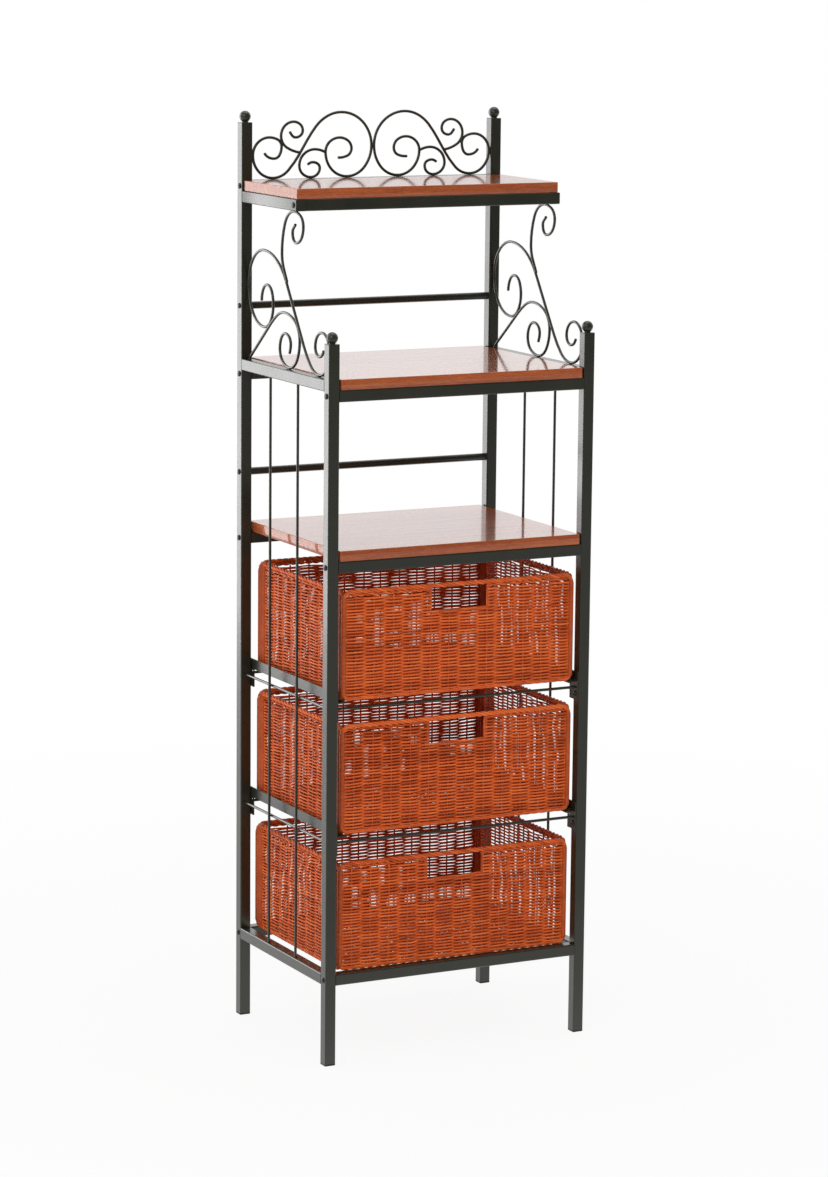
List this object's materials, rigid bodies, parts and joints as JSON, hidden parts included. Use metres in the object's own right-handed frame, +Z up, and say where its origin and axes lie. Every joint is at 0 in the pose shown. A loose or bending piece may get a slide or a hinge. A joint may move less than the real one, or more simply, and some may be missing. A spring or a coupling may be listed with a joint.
{
  "type": "bakers rack",
  "caption": "Tall steel bakers rack with wooden shelves, wire scrollwork at the crest and sides, and pull-out wicker baskets.",
  "frame": {"origin": "middle of the footprint on the floor, between the four feet", "axes": "+Z up, +Y towards the back with the tall posts and crest, +X to the right of someone facing the rack"},
  "size_m": [0.514, 0.37, 1.6134],
  "materials": {
    "frame_metal": "satin charcoal powder coat on steel tube and wire",
    "bolt_metal": "satin black bolt heads",
    "insert_steel": "plain steel threaded plugs inside the rails",
    "board_wood": "glossy cherry lacquer over fine straight grain",
    "wicker": "stained and lightly lacquered woven cane",
    "foot_plastic": "matt black plastic"
  },
  "bodies": {
    "frame": {"back_post_left": "frame_metal", "back_post_right": "frame_metal", "bottom_back_rail": "frame_metal", "bottom_front_rail": "frame_metal", "bottom_side_rail_left": "frame_metal", "bottom_side_rail_right": "frame_metal", "crest_scrollwork": "frame_metal", "front_post_left": "frame_metal", "front_post_right": "frame_metal", "lower_back_rail": "frame_metal", "lower_back_tube": "frame_metal", "lower_board": "board_wood", "lower_front_rail": "frame_metal", "middle_back_rail": "frame_metal", "middle_board": "board_wood", "middle_front_cross_rod": "frame_metal", "middle_front_rail": "frame_metal", "middle_rear_cross_rod": "frame_metal", "middle_runner_left": "frame_metal", "middle_runner_right": "frame_metal", "middle_side_brace_left": "frame_metal", "middle_side_brace_right": "frame_metal", "middle_side_rail_left": "frame_metal", "middle_side_rail_right": "frame_metal", "post_feet": "foot_plastic", "post_finials": "frame_metal", "rail_bolts": "bolt_metal", "rail_inserts": "insert_steel", "runner_bolts": "bolt_metal", "side_rods_left": "frame_metal", "side_rods_right": "frame_metal", "side_scrollwork_left": "frame_metal", "side_scrollwork_right": "frame_metal", "top_arm_left": "frame_metal", "top_arm_right": "frame_metal", "top_back_rail": "frame_metal", "top_board": "board_wood", "top_front_rail": "frame_metal", "upper_back_tube": "frame_metal", "upper_front_cross_rod": "frame_metal", "upper_rear_cross_rod": "frame_metal", "upper_runner_left": "frame_metal", "upper_runner_right": "frame_metal", "upper_side_brace_left": "frame_metal", "upper_side_brace_right": "frame_metal"},
    "basket_upper": {"upper_basket_corner_rods": "wicker", "upper_basket_rim": "wicker", "upper_basket_weave": "wicker"},
    "basket_middle": {"middle_basket_corner_rods": "wicker", "middle_basket_rim": "wicker", "middle_basket_weave": "wicker"},
    "basket_lower": {"lower_basket_corner_rods": "wicker", "lower_basket_rim": "wicker", "lower_basket_weave": "wicker"}
  },
  "joints": [
    {"name": "upper_basket_slide", "type": "slide", "parent": "frame", "child": "basket_upper", "axis": [0, -1, 0], "range_m": [0, 0.3]},
    {"name": "middle_basket_slide", "type": "slide", "parent": "frame", "child": "basket_middle", "axis": [0, -1, 0], "range_m": [0, 0.3]},
    {"name": "lower_basket_slide", "type": "slide", "parent": "frame", "child": "basket_lower", "axis": [0, -1, 0], "range_m": [0, 0.3]}
  ]
}
